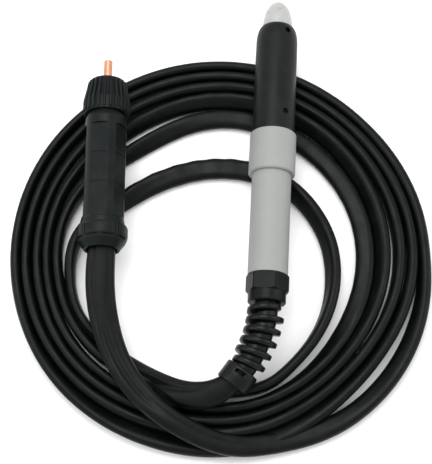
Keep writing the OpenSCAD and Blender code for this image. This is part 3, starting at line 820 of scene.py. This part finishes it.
# %% Cable sheath
def sheath_material():
    """Black sheath: satin, uneven in gloss, with a coarse grain."""
    material, tree, shader = new_material("sheath black")
    tone = place_group(tree, CLOUDS, Base=(0.0012, 0.0020, 0.0020, 1), Change=0.2,
                       Scale=45.0)
    top = place_group(tree, DUST, Base=tone["Color"], Amount=0.008)
    skin = place_group(tree, GRAIN, Scale=520.0, Coarse=0.9)
    tree.links.new(top["Color"], shader.inputs["Base Color"])
    varied = spread(tree, tone["Mask"], 0, 1, 0.33, 0.50)
    tree.links.new(maths(tree, "ADD", varied, maths(tree, "MULTIPLY", top["Mask"], 0.5),
                         True), shader.inputs["Roughness"])
    shader.inputs["Specular IOR Level"].default_value = 0.125
    bumped(tree, shader, skin["Height"], 0.05)
    return material


sheath_black = sheath_material()
print("sheath ready")


# %% Metals
def make_turned():
    """Fine lines round or along a turned part, with a tarnish mask."""
    tree, ask, give = new_group(
        "tool lines", [("Lines", 2600.0), ("Tarnish Scale", 60.0)],
        [("Height", "Float"), ("Mask", "Float")])
    place = tree.nodes.new("ShaderNodeTexCoord").outputs["Object"]
    squeeze = tree.nodes.new("ShaderNodeMapping")
    squeeze.inputs["Scale"].default_value = (0.04, 1.0, 0.04)
    tree.links.new(place, squeeze.inputs["Vector"])
    tree.links.new(noise(tree, squeeze.outputs[0], ask["Lines"], 3, 0.6),
                   give["Height"])
    tree.links.new(spread(tree, noise(tree, place, ask["Tarnish Scale"], 5, 0.6),
                          0.4, 0.7), give["Mask"])
    return tree


LINES = make_turned()


def machined(name, bright, dull, rough=0.28, depth=0.006):
    """A bare metal with tool lines and a patchy tarnish."""
    material, tree, shader = new_material(name)
    cut = place_group(tree, LINES)
    tree.links.new(mixed(tree, cut["Mask"], (*bright, 1), (*dull, 1)),
                   shader.inputs["Base Color"])
    tree.links.new(spread(tree, cut["Mask"], 0, 1, rough, rough + 0.16),
                   shader.inputs["Roughness"])
    shader.inputs["Metallic"].default_value = 1.0
    bumped(tree, shader, cut["Height"], depth)
    return material


copper = machined("bare copper", (0.64, 0.33, 0.22), (0.52, 0.24, 0.15), rough=0.36)
brass = machined("machined brass", (0.80, 0.62, 0.30), (0.62, 0.46, 0.22))
steel = machined("plated steel", (0.62, 0.62, 0.64), (0.46, 0.46, 0.47), rough=0.32)
# The barrel screws are coloured near black: painted shade, so that the screw holes read
# as dark as shaded holes.
screw_painted_shade = machined("painted shade screw", (0.020, 0.020, 0.022), (0.035, 0.032, 0.030),
                       rough=0.38)
print("metals:", 4)

# %% Milky cap
def cap_material():
    """Milky plastic with faint moulding rings; light spreads inside it."""
    material, tree, shader = new_material("cap milky white")
    tone = place_group(tree, CLOUDS, Base=(0.34, 0.345, 0.335, 1), Change=0.05,
                       Scale=60.0)
    rings = place_group(tree, LINES, Lines=230.0)
    tree.links.new(tone["Color"], shader.inputs["Base Color"])
    tree.links.new(spread(tree, tone["Mask"], 0, 1, 0.26, 0.38),
                   shader.inputs["Roughness"])
    shader.inputs["Subsurface Weight"].default_value = 0.5
    shader.inputs["Subsurface Radius"].default_value = (0.004, 0.004, 0.004)
    bumped(tree, shader, rings["Height"], 0.5)
    return material


cap_white = cap_material()
print("cap ready")


# %% Give every part its finish
FINISHES = {
    "cap_plastic": cap_white, "copper": copper, "brass": brass, "ceramic": ceramic,
    "steel": steel, "barrel_black": barrel_black, "handle_grey": handle_grey,
    "gland_black": gland_black, "relief_black": relief_black,
    "clamp_grey": clamp_grey, "rubber": seal_rubber, "sheath_black": sheath_black,
    "plug_black": plug_black}


def dress(piece, material):
    """Puts one material in every slot of a piece."""
    if not piece.data.materials:
        piece.data.materials.append(material)
    for i in range(len(piece.data.materials)):
        piece.data.materials[i] = material


for row in frame["record"]["subparts"]:
    dress(nodes[row["node"]], FINISHES[row["material_slot"]])
# Near-black screws: painted shade in the screw holes.
dress(nodes["barrel_screws"], screw_painted_shade)
dress(cable, sheath_black)
dress(relief, relief_black)

# %% [markdown]
# ## Floor and light
#
# Black parts on a white floor are a test of lighting: they are seen only by
# what they reflect. One wide soft light overhead gives the long highlights on
# the barrels and the turns, a weaker one from each side keeps the flanks from
# going flat, and the pale surroundings fill the shadows.


# %% Floor
def floor_material():
    """Plain pale paper."""
    material, tree, shader = new_material("pale floor")
    tone = place_group(tree, CLOUDS, Base=(0.92, 0.92, 0.92, 1), Change=0.004,
                       Scale=2.0)
    tree.links.new(tone["Color"], shader.inputs["Base Color"])
    shader.inputs["Roughness"].default_value = 0.9
    shader.inputs["Specular IOR Level"].default_value = 0.2
    return material


def add_floor(size=6.0):
    """A flat floor just under the cable."""
    h = size / 2
    z = FLOOR_Z - 0.2 * MM
    floor = mesh_piece("floor", [(-h, -h, z), (h, -h, z), (h, h, z), (-h, h, z)],
                       [[0, 1, 2, 3]], smooth=False)
    dress(floor, floor_material())
    return floor


floor = add_floor()
print("floor at", round(FLOOR_Z, 3))


# %% Lights
def add_light(name, place, energy, size, aim=(-0.05, -0.15, 0)):
    """A square soft light aimed at the coil."""
    data = bpy.data.lights.new(name, "AREA")
    data.shape = "RECTANGLE"
    data.size, data.size_y = size
    data.energy = energy
    light = bpy.data.objects.new(name, data)
    light.location = place
    away = np.array(place) - np.array(aim)
    light.rotation_euler = (math.atan2(math.hypot(away[0], away[1]), away[2]), 0,
                            math.atan2(away[1], away[0]) + math.pi / 2)
    bpy.context.scene.collection.objects.link(light)
    return light


add_light("overhead", (-0.25, 0.30, 1.5), 18, (1.0, 1.2))
add_light("left", (-1.4, -0.3, 0.9), 7, (0.8, 1.2))
add_light("right", (1.4, 0.1, 0.9), 7, (0.8, 1.2))

world = bpy.data.worlds.new("pale room")
world.use_nodes = True
world.node_tree.nodes["Background"].inputs["Color"].default_value = (1, 1, 1, 1)
world.node_tree.nodes["Background"].inputs["Strength"].default_value = 1.0
bpy.context.scene.world = world
bpy.context.scene.view_settings.view_transform = "Standard"
print("lights:", 3)
